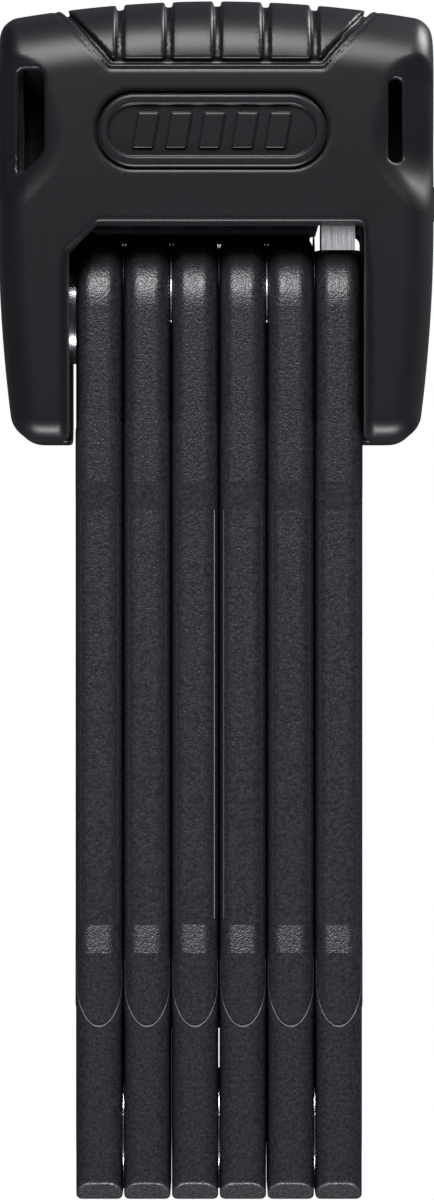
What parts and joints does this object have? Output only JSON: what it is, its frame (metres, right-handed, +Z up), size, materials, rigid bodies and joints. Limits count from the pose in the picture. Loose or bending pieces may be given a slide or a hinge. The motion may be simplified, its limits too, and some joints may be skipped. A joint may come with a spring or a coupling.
{
  "type": "folding bike lock",
  "caption": "Folding bicycle lock with a U-shaped head, key cylinder and riveted, sleeved steel bars that fan out into a loop.",
  "frame": {"origin": "middle of the level plane that the head's two arms end on, where the folded lock rests on its holder", "axes": "+X across the bars towards the keyway, +Y from the badge to the back, +Z up from the bars to the grip"},
  "size_m": [0.0729, 0.0375, 0.1991],
  "materials": {
    "core_steel": "hardened steel, black oxide",
    "casing": "soft-touch matt black",
    "badge": "satin black",
    "brass_lock": "turned brass",
    "bright_steel": "ground steel",
    "hard_steel": "hardened steel",
    "jacket": "grained black",
    "sleeve": "fine-grained soft coating",
    "screw_steel": "black screws"
  },
  "bodies": {
    "head": {"lock_core": "core_steel", "bolt_block": "core_steel", "core_left_arm": "core_steel", "core_right_arm": "core_steel", "front_cover": "casing", "rear_cover": "casing", "badge_plate": "badge", "cylinder_housing": "brass_lock", "cylinder_pin": "hard_steel", "cover_screws": "screw_steel", "rivet_head": "bright_steel", "washer_head": "bright_steel"},
    "key_plug": {"key_plug": "brass_lock", "cylinder_discs": "brass_lock", "sidebar": "hard_steel", "plug_circlip": "hard_steel", "drive_drum": "hard_steel"},
    "bolt": {"locking_bolt": "hard_steel", "follower_pin": "hard_steel"},
    "dust_cover": {"dust_cover": "casing"},
    "bar_1": {"bar_1_steel": "hard_steel", "bar_1_jacket": "jacket", "bar_1_sleeve": "sleeve", "rivet_1_2": "bright_steel", "washer_1_2": "bright_steel"},
    "bar_2": {"bar_2_steel": "hard_steel", "bar_2_jacket": "jacket", "bar_2_sleeve": "sleeve", "rivet_2_3": "bright_steel", "washer_2_3": "bright_steel"},
    "bar_3": {"bar_3_steel": "hard_steel", "bar_3_jacket": "jacket", "bar_3_sleeve": "sleeve", "rivet_3_4": "bright_steel", "washer_3_4": "bright_steel"},
    "bar_4": {"bar_4_steel": "hard_steel", "bar_4_jacket": "jacket", "bar_4_sleeve": "sleeve", "rivet_4_5": "bright_steel", "washer_4_5": "bright_steel"},
    "bar_5": {"bar_5_steel": "hard_steel", "bar_5_jacket": "jacket", "bar_5_sleeve": "sleeve", "rivet_5_6": "bright_steel", "washer_5_6": "bright_steel"},
    "bar_6": {"bar_6_steel": "hard_steel", "bar_6_jacket": "jacket", "bar_6_sleeve": "sleeve", "bar_6_tongue": "bright_steel"}
  },
  "joints": [
    {"name": "key_turn", "type": "hinge", "parent": "head", "child": "key_plug", "pos_m": [0.0333, 0, 0.0584], "axis": [1, 0, 0], "range_deg": [0, 90]},
    {"name": "bolt_slide", "type": "slide", "parent": "head", "child": "bolt", "axis": [1, 0, 0], "range_m": [0, 0.006]},
    {"name": "dust_cover_slide", "type": "slide", "parent": "head", "child": "dust_cover", "axis": [0, 0, -1], "range_m": [0, 0.014]},
    {"name": "head_hinge", "type": "hinge", "parent": "head", "child": "bar_1", "pos_m": [-0.0245, 0, 0.0221], "axis": [-1, 0, 0], "range_deg": [0, 80]},
    {"name": "hinge_1_2", "type": "hinge", "parent": "bar_1", "child": "bar_2", "pos_m": [-0.01526, 0, -0.1131], "axis": [-1, 0, 0], "range_deg": [0, 180]},
    {"name": "hinge_2_3", "type": "hinge", "parent": "bar_2", "child": "bar_3", "pos_m": [-0.00738, 0, 0.0221], "axis": [-1, 0, 0], "range_deg": [0, 90]},
    {"name": "hinge_3_4", "type": "hinge", "parent": "bar_3", "child": "bar_4", "pos_m": [0.0005, 0, -0.1131], "axis": [-1, 0, 0], "range_deg": [0, 180]},
    {"name": "hinge_4_5", "type": "hinge", "parent": "bar_4", "child": "bar_5", "pos_m": [0.00838, 0, 0.0221], "axis": [-1, 0, 0], "range_deg": [0, 90]},
    {"name": "hinge_5_6", "type": "hinge", "parent": "bar_5", "child": "bar_6", "pos_m": [0.01626, 0, -0.1131], "axis": [-1, 0, 0], "range_deg": [0, 180]}
  ],
  "couplings": [
    {"joint": "bolt_slide", "follows": "key_turn", "m_per_rad": 0.0038197}
  ]
}
